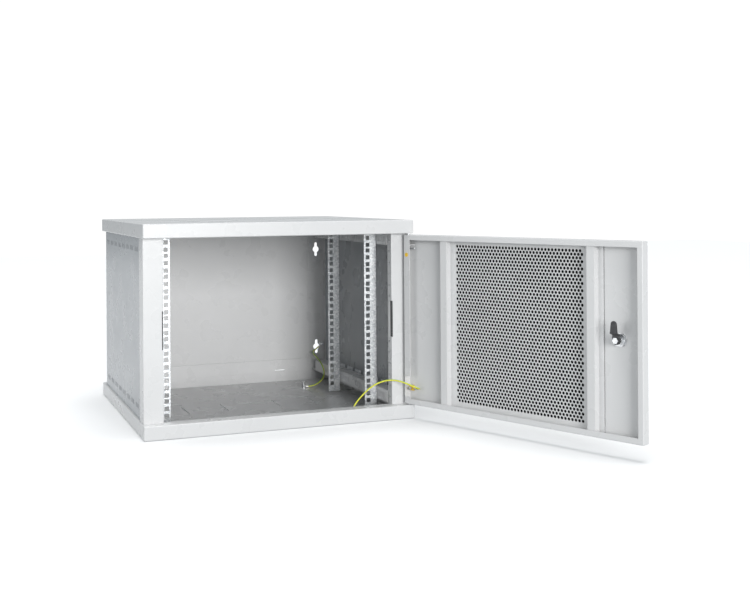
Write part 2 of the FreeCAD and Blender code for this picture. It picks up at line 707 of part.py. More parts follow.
def floor_stud(place):
    x, y = place
    low = floor_level()
    return rod(M6, (x, y, low), (x, y, low + STUD_HEIGHT))


def stud_washer(start, end):
    return rod(WASHER_RADIUS, start, end).cut(rod(M6 + THREAD_GAP, start, end))


def stud_nut(start, end):
    return hexagon(HEAD_FLATS, start, end).cut(rod(M6 + THREAD_GAP, start, end))


FLOOR_LUG_Z = FRAME_SHEET + WASHER_THICKNESS + LUG_THICKNESS / 2
POST_FACE = DEPTH - REAR_FACE - FRAME_SHEET
POST_LUG_Y = POST_FACE - WASHER_THICKNESS - LUG_THICKNESS / 2


def floor_washers():
    low = floor_level()
    pieces = []
    for x, y in (REAR_STUD, FRONT_STUD):
        pieces.append(stud_washer((x, y, low), (x, y, low + WASHER_THICKNESS)))
    return Part.makeCompound(pieces)


def floor_nuts():
    low = FLOOR_LUG_Z + LUG_THICKNESS / 2
    pieces = []
    for x, y in (REAR_STUD, FRONT_STUD):
        pieces.append(stud_nut((x, y, low), (x, y, low + NUT_HEIGHT)))
    return Part.makeCompound(pieces)


def post_stud():
    x, z = POST_STUD
    return rod(M6, (x, POST_FACE + FRAME_SHEET, z), (x, POST_FACE - STUD_HEIGHT, z))


def post_washer():
    x, z = POST_STUD
    return stud_washer((x, POST_FACE, z), (x, POST_FACE - WASHER_THICKNESS, z))


def post_nut():
    x, z = POST_STUD
    seat = POST_LUG_Y - LUG_THICKNESS / 2
    return stud_nut((x, seat, z), (x, seat - NUT_HEIGHT, z))


POST_LUG = ((POST_STUD[0], POST_LUG_Y, POST_STUD[1]), (0, -1, 0), (-0.8, 0, -0.6))
REAR_LUG = ((REAR_STUD[0], REAR_STUD[1], FLOOR_LUG_Z), (0, 0, 1), (0.98, -0.2, 0))
FRONT_LUG = ((FRONT_STUD[0], FRONT_STUD[1], FLOOR_LUG_Z), (0, 0, 1), (0.9, -0.44, 0))

# Each lead's route between its lugs: x, distance back from the front plane, z.
# The first and last points of a lead are worked out, so that it leaves each lug straight.
POST_LEAD_ROUTE = (
    (251.5, 551.5, 77.0),
    (248.0, 534.0, 74.0),
    (248.5, 511.0, 68.5),
    (249.5, 486.0, 60.5),
    (250.0, 462.0, 47.5),
    (247.5, 447.0, 30.5),
    (235.0, 442.0, 15.0),
)
DOOR_LEAD_ROUTE = (
    (168.0, 44.5, 20.0),
    (176.0, 42.0, 35.5),
    (188.5, 38.0, 51.0),
    (203.0, 32.0, 66.5),
    (218.0, 25.5, 77.5),
    (235.0, 18.0, 84.5),
    (253.0, 9.5, 86.5),
    (267.0, -1.0, 83.5),
    (278.0, -12.0, 79.0),
    (287.5, -21.5, 74.5),
    (296.5, -22.5, 70.5),
    (303.5, -17.5, 67.5),
)


def door_lug():
    """Lug on the door's stud, with the door closed: centre, normal and direction."""
    y = SKIN_INNER + WASHER_THICKNESS + LUG_THICKNESS / 2
    return ((DOOR_STUD_X, y, DOOR_STUD_Z), (0, 1, 0), (-1, 0, 0))


def post_lead():
    start = [lug_end(POST_LUG), lug_end(POST_LUG, CABINET_LUG_EXIT)]
    end = [lug_end(REAR_LUG, CABINET_LUG_EXIT), lug_end(REAR_LUG)]
    return lead(start + [Vec(*point) for point in POST_LEAD_ROUTE] + end)


def door_lead():
    start = [lug_end(FRONT_LUG), lug_end(FRONT_LUG, CABINET_LUG_EXIT)]
    hinge = Vec(PIN_X, PIN_Y, 0)
    turn = FreeCAD.Rotation(Vec(0, 0, 1), DOOR_OPEN)
    end = []
    for beyond in (DOOR_LUG_EXIT, 0.0):
        end.append(hinge + turn.multVec(lug_end(door_lug(), beyond) - hinge))
    return lead(start + [Vec(*point) for point in DOOR_LEAD_ROUTE] + end)


def cabinet_lugs():
    return Part.makeCompound([lug(*POST_LUG), lug(*REAR_LUG), lug(*FRONT_LUG)])


# ---- door, modelled closed and then turned open --------------------------------------
def field_half():
    """Half width and half height of the perforated field."""
    half_x = (HOLE_COLUMNS - 1) / 2 * HOLE_PITCH + HOLE_PITCH / 4 + HOLE_RADIUS
    half_z = (HOLE_ROWS - 1) / 2 * ROW_PITCH + HOLE_RADIUS
    return half_x, half_z


def perforated(x0, x1, z0, z1, y, thickness):
    """Flat sheet with staggered rows of round holes, built as one face with many holes."""
    plane = FRONT + y
    corners = [Vec(x0, plane, z0), Vec(x1, plane, z0), Vec(x1, plane, z1), Vec(x0, plane, z1)]
    wires = [Part.makePolygon(corners + [corners[0]])]
    for row in range(HOLE_ROWS):
        shift = HOLE_PITCH / 4 if row % 2 else -HOLE_PITCH / 4
        z = MID + (row - (HOLE_ROWS - 1) / 2) * ROW_PITCH
        for column in range(HOLE_COLUMNS):
            x = DOOR_MID_X + (column - (HOLE_COLUMNS - 1) / 2) * HOLE_PITCH + shift
            circle = Part.Circle(Vec(x, plane, z), Vec(0, 1, 0), HOLE_RADIUS)
            wires.append(Part.Wire([circle.toShape()]))
    face = Part.Face(wires)
    return face.extrude(Vec(0, thickness, 0))


def window():
    """Edges of the opening in the skin behind the perforated field."""
    half_x, half_z = field_half()
    return (DOOR_MID_X - half_x - FIELD_MARGIN, DOOR_MID_X + half_x + FIELD_MARGIN,
            MID - half_z - FIELD_MARGIN, MID + half_z + FIELD_MARGIN)


def inlay():
    """Edges of the sheets behind the window, which reach to the ribs' outer feet."""
    reach = RIB_OFFSET + RIB_TOP / 2 + RIB_SLOPE + RIB_FOOT
    return (DOOR_MID_X - reach, DOOR_MID_X + reach, DOOR_LOW + DOOR_SHEET, DOOR_HIGH - DOOR_SHEET)


def door_pan():
    """Door skin with upright edges and lips turned inwards."""
    wall = DOOR_SHEET
    shell = box(DOOR_LEFT, DOOR_RIGHT, DOOR_FACE, DOOR_INNER, DOOR_LOW, DOOR_HIGH)
    shell = shell.makeFillet(DOOR_EDGE_ROUND, shell.Edges)
    hollow = box(DOOR_LEFT + wall, DOOR_RIGHT - wall, SKIN_INNER, DOOR_INNER - wall,
                 DOOR_LOW + wall, DOOR_HIGH - wall)
    mouth = box(DOOR_LEFT + LIP_FREE, DOOR_RIGHT - LIP_HINGE, SKIN_INNER, DOOR_INNER + 1,
                DOOR_LOW + LIP_END, DOOR_HIGH - LIP_END)
    x0, x1, z0, z1 = window()
    opening = box(x0, x1, DOOR_FACE - 1, SKIN_INNER + 1, z0, z1)
    notch = box(DOOR_RIGHT - LIP_HINGE - 1, DOOR_RIGHT - wall, DOOR_INNER - wall - 1, DOOR_INNER + 1,
                DOOR_STUD_Z - LIP_NOTCH_BELOW, DOOR_STUD_Z + LIP_NOTCH_ABOVE)
    pins = rod(PIN_RADIUS + RUNNING_GAP, (PIN_X, PIN_Y, 0), (PIN_X, PIN_Y, HEIGHT))
    lock_hole = lock_rod(LOCK_BARREL + RUNNING_GAP, DOOR_FACE - 1, SKIN_INNER + 1)
    for tool in (hollow, mouth, opening, notch, pins, lock_hole):
        shell = shell.cut(tool)
    return shell


def door_grille():
    x0, x1, z0, z1 = window()
    return perforated(x0, x1, z0, z1, DOOR_FACE, DOOR_SHEET)


def filter_mat():
    x0, x1, z0, z1 = inlay()
    return box(x0, x1, SKIN_INNER, SKIN_INNER + FILTER_THICKNESS, z0, z1)


def filter_retainer():
    x0, x1, z0, z1 = inlay()
    return perforated(x0, x1, z0, z1, SKIN_INNER + FILTER_THICKNESS, PANEL_SHEET)


def door_rib(side):
    """Hat-section rib beside the perforated field; side is -1 or 1."""
    middle = DOOR_MID_X + side * RIB_OFFSET
    base = SKIN_INNER + FILTER_THICKNESS + PANEL_SHEET
    wall = DOOR_SHEET
    top = RIB_TOP / 2
    foot = top + RIB_SLOPE
    half = [(foot + RIB_FOOT, 0), (foot + RIB_FOOT, wall), (foot, wall), (top, RIB_HEIGHT)]
    inner = [(foot - wall, 0), (top - wall, RIB_HEIGHT - wall)]
    outline = [(-x, y) for x, y in half] + half[::-1] + inner + [(-x, y) for x, y in inner[::-1]]
    z0 = DOOR_LOW + DOOR_SHEET
    corners = [Vec(middle + x, FRONT + base + y, z0) for x, y in outline]
    face = Part.Face(Part.makePolygon(corners + [corners[0]]))
    return face.extrude(Vec(0, 0, DOOR_HIGH - DOOR_SHEET - z0))


def pin_bracket():
    """Plate across the door's hinge edge that guides the upper pin and holds its spring up."""
    top = spring_foot()
    plate = box(DOOR_RIGHT - LIP_HINGE, DOOR_RIGHT - DOOR_SHEET, SKIN_INNER, DOOR_INNER - DOOR_SHEET,
                top - BRACKET_SHEET, top)
    return plate.cut(rod(PIN_RADIUS + RUNNING_GAP, (PIN_X, PIN_Y, 0), (PIN_X, PIN_Y, HEIGHT)))


def collar_top():
    return DOOR_HIGH - DOOR_SHEET - COLLAR_GAP


def spring_foot():
    return collar_top() - COLLAR_HEIGHT - SPRING_LENGTH


def upper_hinge_pin():
    """Sprung pin with a collar and a bent pull handle."""
    top = ROOF + PIN_ENGAGE
    handle_z = spring_foot() - BRACKET_SHEET - HANDLE_DROP
    shaft = rod(PIN_RADIUS, (PIN_X, PIN_Y, handle_z - HANDLE_RADIUS), (PIN_X, PIN_Y, top))
    shaft = round_edges(shaft, PIN_END_ROUND, lambda c, e: c.z > top - 0.1)
    seat = collar_top() - COLLAR_HEIGHT
    collar = rod(SPRING_OUTER, (PIN_X, PIN_Y, seat), (PIN_X, PIN_Y, collar_top()))
    handle = rod(HANDLE_RADIUS, (PIN_X, PIN_Y, handle_z), (PIN_X - HANDLE_REACH, PIN_Y, handle_z))
    handle = round_edges(handle, HANDLE_RADIUS / 2, lambda c, e: c.x < PIN_X - HANDLE_REACH + 0.1)
    return join([shaft, collar, handle])


def hinge_spring():
    low = (PIN_X, PIN_Y, spring_foot())
    high = (PIN_X, PIN_Y, collar_top() - COLLAR_HEIGHT)
    return rod(SPRING_OUTER, low, high).cut(rod(SPRING_INNER, low, high))


def lower_hinge_pin():
    ledge = PAN_HEIGHT - FRAME_SHEET
    top = DOOR_LOW + LOWER_PIN_TOP
    head = rod(LOWER_PIN_HEAD, (PIN_X, PIN_Y, ledge - 2), (PIN_X, PIN_Y, ledge))
    shaft = rod(PIN_RADIUS, (PIN_X, PIN_Y, ledge), (PIN_X, PIN_Y, top))
    shaft = round_edges(shaft, PIN_END_ROUND, lambda c, e: c.z > top - 0.1)
    return join([head, shaft])


def lower_hinge_washer():
    low = (PIN_X, PIN_Y, PAN_HEIGHT)
    high = (PIN_X, PIN_Y, DOOR_LOW - 0.1)
    return rod(LOWER_PIN_HEAD, low, high).cut(rod(PIN_RADIUS + THREAD_GAP, low, high))


# ---- door earth stud and markers -----------------------------------------------------
def door_stud():
    place = (DOOR_STUD_X, SKIN_INNER, DOOR_STUD_Z)
    return rod(M6, place, (DOOR_STUD_X, SKIN_INNER + STUD_HEIGHT - 1, DOOR_STUD_Z))


def door_stud_washer():
    y = SKIN_INNER
    return stud_washer((DOOR_STUD_X, y, DOOR_STUD_Z), (DOOR_STUD_X, y + WASHER_THICKNESS, DOOR_STUD_Z))


def door_stud_nut():
    y = SKIN_INNER + WASHER_THICKNESS + LUG_THICKNESS
    return stud_nut((DOOR_STUD_X, y, DOOR_STUD_Z), (DOOR_STUD_X, y + NUT_HEIGHT, DOOR_STUD_Z))


def earth_marker():
    """Yellow disc on the hinge lip."""
    x = DOOR_RIGHT - LIP_HINGE / 2
    return rod(LABEL_RADIUS, (x, DOOR_INNER, LABEL_Z), (x, DOOR_INNER + LABEL_THICKNESS, LABEL_Z))


# ---- lock ----------------------------------------------------------------------------
def lock_rod(radius, y0, y1):
    return rod(radius, (LOCK_X, y0, MID), (LOCK_X, y1, MID))


def lock_housing():
    """Flanged barrel through the door skin."""
    face = DOOR_FACE - LOCK_FLANGE_HEIGHT
    flange = lock_rod(LOCK_FLANGE, face, DOOR_FACE)
    flange = round_edges(flange, LOCK_FLANGE_HEIGHT * 0.4, lambda c, e: c.y < FRONT + face + 0.1)
    body = join([flange, lock_rod(LOCK_BARREL, DOOR_FACE, LOCK_LENGTH)])
    return body.cut(lock_rod(LOCK_PLUG + RUNNING_GAP, face - 1, LOCK_LENGTH + 1))


def lock_plug():
    """Turning plug with a key slot at the front and a tapped hole for the cam's screw."""
    face = DOOR_FACE - LOCK_FLANGE_HEIGHT + PLUG_PROUD
    plug = lock_rod(LOCK_PLUG, face, CAM_SEAT)
    slot = box(LOCK_X - KEY_SLOT_WIDTH / 2, LOCK_X + KEY_SLOT_WIDTH / 2, face - 1, SKIN_INNER,
               MID - KEY_SLOT_HEIGHT / 2, MID + KEY_SLOT_HEIGHT / 2)
    return plug.cut(slot).cut(lock_rod(CAM_SCREW, CAM_SEAT - CAM_SCREW_DEPTH, CAM_SEAT + 1))


def lock_washer():
    ring = lock_rod(LOCK_FLANGE + 0.5, SKIN_INNER, SKIN_INNER + LOCK_WASHER)
    return ring.cut(lock_rod(LOCK_BARREL + THREAD_GAP, SKIN_INNER, SKIN_INNER + LOCK_WASHER))


def lock_nut():
    y = SKIN_INNER + LOCK_WASHER
    nut = hexagon(LOCK_NUT_FLATS, (LOCK_X, y, MID), (LOCK_X, y + LOCK_NUT_HEIGHT, MID))
    return nut.cut(lock_rod(LOCK_BARREL + THREAD_GAP, y, y + LOCK_NUT_HEIGHT))


def lock_cam():
    """Cranked cam, pointing up: a base on the plug, a slanted crank and a tapered blade further in."""
    base_top = CAM_SEAT + CAM_SHEET
    blade_y = CAM_SEAT + CAM_CRANK
    blade_top = blade_y + CAM_SHEET
    half = CAM_WIDTH / 2
    base = box(LOCK_X - half, LOCK_X + half, CAM_SEAT, base_top, MID, MID + CAM_BEND)
    boss = lock_rod(half, CAM_SEAT, base_top)
    low = CAM_BEND - CAM_SLANT
    section = [(CAM_SEAT, low), (CAM_SEAT, CAM_BEND), (blade_y, CAM_BEND + CAM_RISE),
               (blade_top, CAM_BEND + CAM_RISE), (blade_top, low + CAM_RISE), (base_top, low)]
    corners = [Vec(LOCK_X - half, FRONT + y, MID + z) for y, z in section]
    crank = Part.Face(Part.makePolygon(corners + [corners[0]])).extrude(Vec(CAM_WIDTH, 0, 0))
    tip = CAM_TIP_WIDTH / 2
    tip_z = CAM_REACH - tip
    outline = [(-half, low + CAM_RISE), (half, low + CAM_RISE), (tip, tip_z), (-tip, tip_z)]
    corners = [Vec(LOCK_X + x, FRONT + blade_y, MID + z) for x, z in outline]
    blade = Part.Face(Part.makePolygon(corners + [corners[0]])).extrude(Vec(0, CAM_SHEET, 0))
    end = rod(tip, (LOCK_X, blade_y, MID + tip_z), (LOCK_X, blade_top, MID + tip_z))
    return join([base, boss, crank, blade, end]).cut(lock_rod(CAM_SCREW, CAM_SEAT - 1, base_top + 1))


def cam_screw():
    """Hexagon-headed screw that holds the cam on the plug."""
    seat = CAM_SEAT + CAM_SHEET
    head = hexagon(CAM_SCREW_HEAD, (LOCK_X, seat, MID), (LOCK_X, seat + CAM_SCREW_HEAD_HEIGHT, MID))
    return join([head, lock_rod(CAM_SCREW - THREAD_GAP, seat - CAM_SCREW_DEPTH, seat)])


NODES = {}


def build():
    NODES["base_pan"] = base_pan()
    NODES["top_pan"] = top_pan()
    post = front_post()
    NODES["front_post_right"] = post
    NODES["front_post_left"] = mirror_x(post)
    post = rear_post()
    NODES["rear_post_right"] = post
    NODES["rear_post_left"] = mirror_x(post)
    panel = side_panel()
    NODES["side_panel_right"] = panel
    NODES["side_panel_left"] = mirror_x(panel)
    NODES["rear_panel"] = rear_panel()
    NODES["rear_lower_beam"] = rear_lower_beam()
    NODES["rear_upper_beam"] = flip_z(rear_beam(UPPER_BEAM_DROP))
    channel = side_channel()
    NODES["lower_channel_right"] = channel
    NODES["lower_channel_left"] = mirror_x(channel)
    NODES["upper_channel_right"] = flip_z(channel)
    NODES["upper_channel_left"] = mirror_x(flip_z(channel))
    for name, face_y in (("front", FRONT_RAIL), ("rear", REAR_RAIL)):
        rail = rack_rail(face_y)
        NODES["rack_rail_%s_right" % name] = rail
        NODES["rack_rail_%s_left" % name] = mirror_x(rail)
    NODES["frame_bolts"] = frame_bolts()
    NODES["frame_nuts"] = frame_nuts()
    NODES["rail_bolts"] = rail_bolts()
    NODES["rail_nuts"] = rail_nuts()
    NODES["side_panel_screws"] = side_panel_screws()
    NODES["rear_panel_screws"] = rear_panel_screws()
    build_earthing()
    build_door()


def build_earthing():
    NODES["floor_earth_studs"] = Part.makeCompound([floor_stud(REAR_STUD), floor_stud(FRONT_STUD)])
    NODES["post_earth_stud"] = post_stud()
    NODES["earth_washers"] = Part.makeCompound([floor_washers(), post_washer()])
    NODES["earth_nuts"] = Part.makeCompound([floor_nuts(), post_nut()])
    NODES["cabinet_lugs"] = cabinet_lugs()
    NODES["post_earth_lead"] = post_lead()
    NODES["door_earth_lead"] = door_lead()


def build_door():
    NODES["lower_hinge_pin"] = lower_hinge_pin()
    NODES["lower_hinge_washer"] = lower_hinge_washer()
    closed = {
        "door_pan": door_pan(),
        "door_grille": door_grille(),
        "filter_mat": filter_mat(),
        "filter_retainer": filter_retainer(),
        "door_rib_free_side": door_rib(-1),
        "door_rib_hinge_side": door_rib(1),
        "hinge_pin_bracket": pin_bracket(),
        "upper_hinge_pin": upper_hinge_pin(),
        "hinge_spring": hinge_spring(),
        "door_earth_stud": door_stud(),
        "door_earth_washer": door_stud_washer(),
        "door_earth_nut": door_stud_nut(),
        "door_lug": lug(*door_lug()),
        "earth_marker": earth_marker(),
        "lock_housing": lock_housing(),
        "lock_washer": lock_washer(),
        "lock_nut": lock_nut(),
        "lock_plug": lock_plug(),
        "lock_cam": lock_cam(),
        "cam_screw": cam_screw(),
    }
    for name, shape in closed.items():
        NODES[name] = open_door(shape)


def export():
    os.makedirs("parts", exist_ok=True)
    for name, shape in NODES.items():
        shape.exportStep("parts/%s.step" % name)
        print("%-24s solids %d" % (name, len(shape.Solids)))


build()
export()
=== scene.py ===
import json
import math
import bmesh
import bpy
from mathutils import Matrix, Vector, noise


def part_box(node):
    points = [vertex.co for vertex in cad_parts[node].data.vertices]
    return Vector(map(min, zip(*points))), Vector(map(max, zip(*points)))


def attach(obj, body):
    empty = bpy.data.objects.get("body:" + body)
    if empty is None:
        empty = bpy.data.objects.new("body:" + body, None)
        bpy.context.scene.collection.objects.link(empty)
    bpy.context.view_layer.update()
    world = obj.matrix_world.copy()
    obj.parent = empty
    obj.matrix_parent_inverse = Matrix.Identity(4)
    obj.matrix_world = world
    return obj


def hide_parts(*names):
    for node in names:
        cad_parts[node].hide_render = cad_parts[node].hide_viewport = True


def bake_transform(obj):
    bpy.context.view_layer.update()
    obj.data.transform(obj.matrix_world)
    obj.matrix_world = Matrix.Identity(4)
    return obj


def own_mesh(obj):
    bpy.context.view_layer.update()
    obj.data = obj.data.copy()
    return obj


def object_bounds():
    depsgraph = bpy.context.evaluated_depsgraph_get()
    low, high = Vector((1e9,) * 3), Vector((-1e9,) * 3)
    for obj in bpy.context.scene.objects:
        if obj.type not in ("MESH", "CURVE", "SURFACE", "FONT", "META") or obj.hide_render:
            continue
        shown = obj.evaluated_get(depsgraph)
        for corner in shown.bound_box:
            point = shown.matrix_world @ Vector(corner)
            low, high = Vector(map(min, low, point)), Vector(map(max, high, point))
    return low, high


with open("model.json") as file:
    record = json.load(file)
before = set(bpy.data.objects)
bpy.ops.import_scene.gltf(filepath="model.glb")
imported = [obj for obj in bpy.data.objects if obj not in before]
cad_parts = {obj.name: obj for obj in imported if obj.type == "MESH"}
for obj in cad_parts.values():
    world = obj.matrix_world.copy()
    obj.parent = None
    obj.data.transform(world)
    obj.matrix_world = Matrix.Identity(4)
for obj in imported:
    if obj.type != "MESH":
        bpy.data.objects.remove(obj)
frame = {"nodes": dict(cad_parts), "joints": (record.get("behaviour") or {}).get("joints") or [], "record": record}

# Wall-mounted 19-inch rack cabinet with its door open. Metres, in the CAD model's frame.

CAD_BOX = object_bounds()
NODES = frame["nodes"]
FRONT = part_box("base_pan")[0].y
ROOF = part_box("top_pan")[1].z


# ---- camera, floor and lights --------------------------------------------------------
CAMERA_PLACE = (-0.6894, -2.4570, 0.4941)
CAMERA_YAW = math.radians(21.0)
CAMERA_ROLL = math.radians(0.4)
FLOOR_SIZE = 14.0


def place_camera():
    data = bpy.data.cameras.new("camera")
    data.lens = 51.5
    data.sensor_width = 36.0
    data.shift_x = 0.0362
    data.shift_y = -0.1387
    data.clip_end = 50.0
    camera = bpy.data.objects.new("camera", data)
    camera.location = CAMERA_PLACE
    camera.rotation_euler = (math.pi / 2, CAMERA_ROLL, -CAMERA_YAW)
    bpy.context.scene.collection.objects.link(camera)
    bpy.context.scene.camera = camera


def area_light(name, place, aim, size, power, colour=(1.0, 1.0, 1.0)):
    """Square soft light at place, turned towards aim."""
    data = bpy.data.lights.new(name, "AREA")
    data.size = size
    data.energy = power
    data.color = colour
    light = bpy.data.objects.new(name, data)
    light.location = place
    light.rotation_euler = (Vector(aim) - Vector(place)).to_track_quat("-Z", "Y").to_euler()
    bpy.context.scene.collection.objects.link(light)


def light_studio():
    centre = (0.1, -0.1, 0.22)
    area_light("front_softbox", (0.0, -8.0, 1.2), centre, 3.0, 520)
    area_light("left_fill", (-7.5, -0.6, 1.6), centre, 4.0, 150)
    overhead = bpy.data.lights.new("overhead", "SUN")
    overhead.energy = 2.2
    overhead.angle = math.radians(50)
    bpy.context.scene.collection.objects.link(bpy.data.objects.new("overhead", overhead))
    world = bpy.data.worlds.new("studio")
    world.use_nodes = True
    tree = world.node_tree
    backdrop = tree.nodes["Background"]
    backdrop.inputs["Color"].default_value = (1.0, 1.0, 1.0, 1.0)
    backdrop.inputs["Strength"].default_value = 1.05
    fill = tree.nodes.new("ShaderNodeBackground")
    fill.inputs["Color"].default_value = (0.90, 0.96, 1.0, 1.0)
    fill.inputs["Strength"].default_value = 0.42
    seen = tree.nodes.new("ShaderNodeLightPath")
    choose = tree.nodes.new("ShaderNodeMixShader")
    tree.links.new(seen.outputs["Is Camera Ray"], choose.inputs["Fac"])
    tree.links.new(fill.outputs["Background"], choose.inputs[1])
    tree.links.new(backdrop.outputs["Background"], choose.inputs[2])
    tree.links.new(choose.outputs["Shader"], tree.nodes["World Output"].inputs["Surface"])
    bpy.context.scene.world = world
    bpy.context.scene.view_settings.view_transform = "Standard"


def lay_floor():
    """Pale floor just under the base, large enough to fill every view."""
    mesh = bpy.data.meshes.new("studio_floor")
    half = FLOOR_SIZE / 2
    z = CAD_BOX[0].z - 0.0005
    corners = [(-half, -half, z), (half, -half, z), (half, half, z), (-half, half, z)]
    mesh.from_pydata(corners, [], [(0, 1, 2, 3)])
    floor = bpy.data.objects.new("studio_floor", mesh)
    bpy.context.scene.collection.objects.link(floor)
    finish, nodes, links, shader = new_material("studio_floor")
    shader.inputs["Base Color"].default_value = (0.92, 0.92, 0.92, 1.0)
    shader.inputs["Roughness"].default_value = 0.9
    mesh.materials.append(finish)
    floor.visible_diffuse = False


# ---- material helpers ----------------------------------------------------------------
def new_material(name):
    finish = bpy.data.materials.new(name)
    finish.use_nodes = True
    tree = finish.node_tree
    return finish, tree.nodes, tree.links, tree.nodes["Principled BSDF"]


def place_of(nodes):
    """Object coordinates, which are metres in the cabinet's frame."""
    return nodes.new("ShaderNodeTexCoord").outputs["Object"]


def noise_of(nodes, links, scale, detail=3.0, stretch=None):
    """Noise over the surface; scale is features per metre."""
    texture = nodes.new("ShaderNodeTexNoise")
    texture.inputs["Scale"].default_value = scale
    texture.inputs["Detail"].default_value = detail
    source = place_of(nodes)
    if stretch:
        mapping = nodes.new("ShaderNodeMapping")
        mapping.inputs["Scale"].default_value = stretch
        links.new(source, mapping.inputs["Vector"])
        source = mapping.outputs["Vector"]
    links.new(source, texture.inputs["Vector"])
    return texture.outputs["Fac"]


def ramp(nodes, links, source, stops):
    """Colour ramp with stops of (position, colour or grey)."""
    node = nodes.new("ShaderNodeValToRGB")
    elements = node.color_ramp.elements
    while len(elements) < len(stops):
        elements.new(0.5)
    for element, (position, colour) in zip(elements, stops):
        element.position = position
        grey = not hasattr(colour, "__len__")
        element.color = (colour, colour, colour, 1.0) if grey else (*colour, 1.0)
    links.new(source, node.inputs["Fac"])
    return node.outputs["Color"]


def mix(nodes, links, factor, first, second, mode="MIX"):
    """Mixes two colour outputs by a factor, which is an output or a number."""
    node = nodes.new("ShaderNodeMix")
    node.data_type = "RGBA"
    node.blend_type = mode
    if isinstance(factor, float):
        node.inputs["Factor"].default_value = factor
    else:
        links.new(factor, node.inputs["Factor"])
    for socket, value in ((node.inputs[6], first), (node.inputs[7], second)):
        if isinstance(value, tuple):
            socket.default_value = (*value, 1.0)
        else:
            links.new(value, socket)
    return node.outputs[2]


def spread(nodes, links, source, low, high):
    """Maps 0..1 onto low..high."""
    node = nodes.new("ShaderNodeMapRange")
    node.inputs["To Min"].default_value = low
    node.inputs["To Max"].default_value = high
    links.new(source, node.inputs["Value"])
    return node.outputs["Result"]


def soft_edges(nodes, radius):
    """Normal that rounds sharp sheet edges a little."""
    node = nodes.new("ShaderNodeBevel")
    node.samples = 4
    node.inputs["Radius"].default_value = radius
    return node.outputs["Normal"]


def worn_edges(nodes, links, radius):
    """Mask that is 1 on edges and 0 on flat faces, broken up by noise."""
    bevel = soft_edges(nodes, radius)
    geometry = nodes.new("ShaderNodeNewGeometry")
    dot = nodes.new("ShaderNodeVectorMath")
    dot.operation = "DOT_PRODUCT"
    links.new(bevel, dot.inputs[0])
    links.new(geometry.outputs["Normal"], dot.inputs[1])
    edge = nodes.new("ShaderNodeMapRange")
    edge.inputs["From Min"].default_value = 0.995
    edge.inputs["From Max"].default_value = 0.80
    links.new(dot.outputs["Value"], edge.inputs["Value"])
    patches = ramp(nodes, links, noise_of(nodes, links, 60.0), [(0.45, 0.0), (0.62, 1.0)])
    worn = nodes.new("ShaderNodeMath")
    worn.operation = "MULTIPLY"
    links.new(edge.outputs["Result"], worn.inputs[0])
    links.new(patches, worn.inputs[1])
    return worn.outputs["Value"]


def bump(nodes, links, shader, height, distance, strength=1.0, normal=None):
    node = nodes.new("ShaderNodeBump")
    node.inputs["Strength"].default_value = strength
    node.inputs["Distance"].default_value = distance
    links.new(height, node.inputs["Height"])
    if normal is not None:
        links.new(normal, node.inputs["Normal"])
    links.new(node.outputs["Normal"], shader.inputs["Normal"])


# ---- materials -----------------------------------------------------------------------
def powder_coat(name, dark, light):
    """Powder coat: fine orange peel, faint cloudiness and slight wear on the edges."""
    finish, nodes, links, shader = new_material(name)
    clouds = noise_of(nodes, links, 4.0, 4.0)
    paint = ramp(nodes, links, clouds, [(0.3, dark), (0.7, light)])
    specks = ramp(nodes, links, noise_of(nodes, links, 1500.0, 1.0), [(0.3, 0.97), (0.7, 1.0)])
    paint = mix(nodes, links, 1.0, paint, specks, "MULTIPLY")
    worn = spread(nodes, links, worn_edges(nodes, links, 0.0006), 0.0, 0.35)
    links.new(mix(nodes, links, worn, paint, (0.40, 0.41, 0.42)), shader.inputs["Base Color"])
    rubbed = noise_of(nodes, links, 14.0, 5.0)
    links.new(spread(nodes, links, rubbed, 0.22, 0.34), shader.inputs["Roughness"])
    peel = noise_of(nodes, links, 900.0, 2.0)
    bump(nodes, links, shader, peel, 0.00003, 0.4, soft_edges(nodes, 0.0007))
    return finish


def galvanised_steel():
    """Zinc-coated sheet with crystals of different brightness."""
    finish, nodes, links, shader = new_material("galvanised_steel")
    crystals = nodes.new("ShaderNodeTexVoronoi")
    crystals.inputs["Scale"].default_value = 320.0
    crystals.inputs["Randomness"].default_value = 1.0
    warp = nodes.new("ShaderNodeVectorMath")
    warp.operation = "MULTIPLY_ADD"
    warp.inputs[1].default_value = (0.004, 0.004, 0.004)
    jitter = nodes.new("ShaderNodeTexNoise")
    jitter.inputs["Scale"].default_value = 260.0
    links.new(place_of(nodes), jitter.inputs["Vector"])
    links.new(jitter.outputs["Color"], warp.inputs[0])
    links.new(place_of(nodes), warp.inputs[2])
    links.new(warp.outputs["Vector"], crystals.inputs["Vector"])
    separate = nodes.new("ShaderNodeSeparateColor")
    links.new(crystals.outputs["Color"], separate.inputs["Color"])
    tone = ramp(nodes, links, separate.outputs["Red"],
                [(0.0, (0.46, 0.48, 0.50)), (0.55, (0.60, 0.62, 0.63)), (1.0, (0.78, 0.79, 0.79))])
    frost = ramp(nodes, links, noise_of(nodes, links, 900.0, 3.0), [(0.35, 0.86), (0.65, 1.0)])
    links.new(mix(nodes, links, 1.0, tone, frost, "MULTIPLY"), shader.inputs["Base Color"])
    shader.inputs["Metallic"].default_value = 0.75
    links.new(spread(nodes, links, separate.outputs["Green"], 0.34, 0.55), shader.inputs["Roughness"])
    bump(nodes, links, shader, separate.outputs["Blue"], 0.00004, 0.5, soft_edges(nodes, 0.0006))
    return finish


